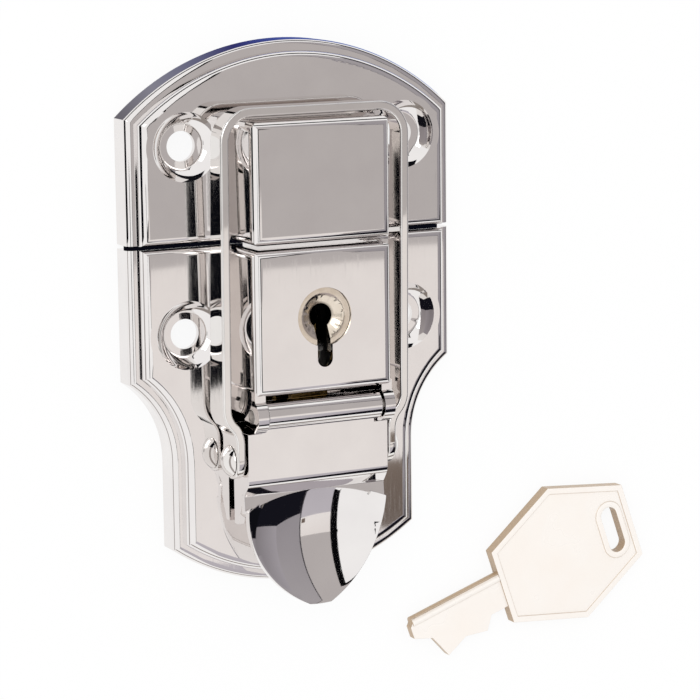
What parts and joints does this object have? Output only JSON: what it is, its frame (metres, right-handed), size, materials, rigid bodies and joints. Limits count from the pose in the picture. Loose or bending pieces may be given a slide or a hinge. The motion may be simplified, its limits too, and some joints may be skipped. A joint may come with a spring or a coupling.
{
  "type": "locking draw latch",
  "caption": "Pressed-steel draw latch for a case: a hinged lever with a finger scoop pulls a rectangular bail over a catch box, and a key lock bolts the lever shut.",
  "frame": {"origin": "midway between the two lower screw holes, on the flat mounting plane at the back", "axes": "+Z out of the mounting plane, +Y along the latch from the lever towards the catch plate, +X to the right seen from the front"},
  "size_m": [0.0844, 0.0924, 0.0142],
  "materials": {
    "nickel_plate": "polished",
    "nickel_wire": "polished",
    "drum_nickel": "satin",
    "lock_steel": "satin",
    "tumbler_brass": "satin",
    "spring_steel": "satin",
    "key_nickel": "satin"
  },
  "bodies": {
    "plates": {"catch_plate": "nickel_plate", "base_plate": "nickel_plate", "lever_pin": "lock_steel", "lock_cover": "lock_steel", "lock_deck": "lock_steel", "deck_posts": "lock_steel", "drum_washer": "lock_steel", "bolt_spring": "spring_steel", "tumbler_post": "lock_steel", "tumbler_spacers": "lock_steel", "tumbler_springs": "spring_steel", "key": "key_nickel"},
    "lever": {"lever": "nickel_plate", "bail_rivet_left": "nickel_wire", "bail_rivet_right": "nickel_wire"},
    "bail": {"bail": "nickel_wire"},
    "drum": {"key_drum": "drum_nickel"},
    "bolt": {"lock_bolt": "tumbler_brass"},
    "tumbler_a": {"tumbler_rear": "tumbler_brass"},
    "tumbler_b": {"tumbler_middle": "tumbler_brass"},
    "tumbler_c": {"tumbler_front": "tumbler_brass"}
  },
  "joints": [
    {"name": "lever_swing", "type": "hinge", "parent": "plates", "child": "lever", "pos_m": [0, -0.0109, 0.0118], "axis": [-1, 0, 0], "range_deg": [0, 140]},
    {"name": "bail_swing", "type": "hinge", "parent": "lever", "child": "bail", "pos_m": [0, -0.0175, 0.0083], "axis": [-1, 0, 0], "range_deg": [-210.1, 0.1]},
    {"name": "key_turn", "type": "hinge", "parent": "plates", "child": "drum", "pos_m": [0, 0.0024, 0.0105], "axis": [0, 0, -1], "range_deg": [0, 90]},
    {"name": "bolt_slide", "type": "slide", "parent": "plates", "child": "bolt", "axis": [0, -1, 0], "range_m": [0, 0.0024]},
    {"name": "tumbler_a_lift", "type": "hinge", "parent": "plates", "child": "tumbler_a", "pos_m": [0.0058, 0.0058, 0.003], "axis": [0, 0, -1], "range_deg": [0, 2]},
    {"name": "tumbler_b_lift", "type": "hinge", "parent": "plates", "child": "tumbler_b", "pos_m": [0.0058, 0.0058, 0.004], "axis": [0, 0, -1], "range_deg": [0, 1.6]},
    {"name": "tumbler_c_lift", "type": "hinge", "parent": "plates", "child": "tumbler_c", "pos_m": [0.0058, 0.0058, 0.005], "axis": [0, 0, -1], "range_deg": [0, 1.2]}
  ],
  "couplings": [
    {"joint": "bail_swing", "follows": "lever_swing", "ratio": -1.5}
  ]
}
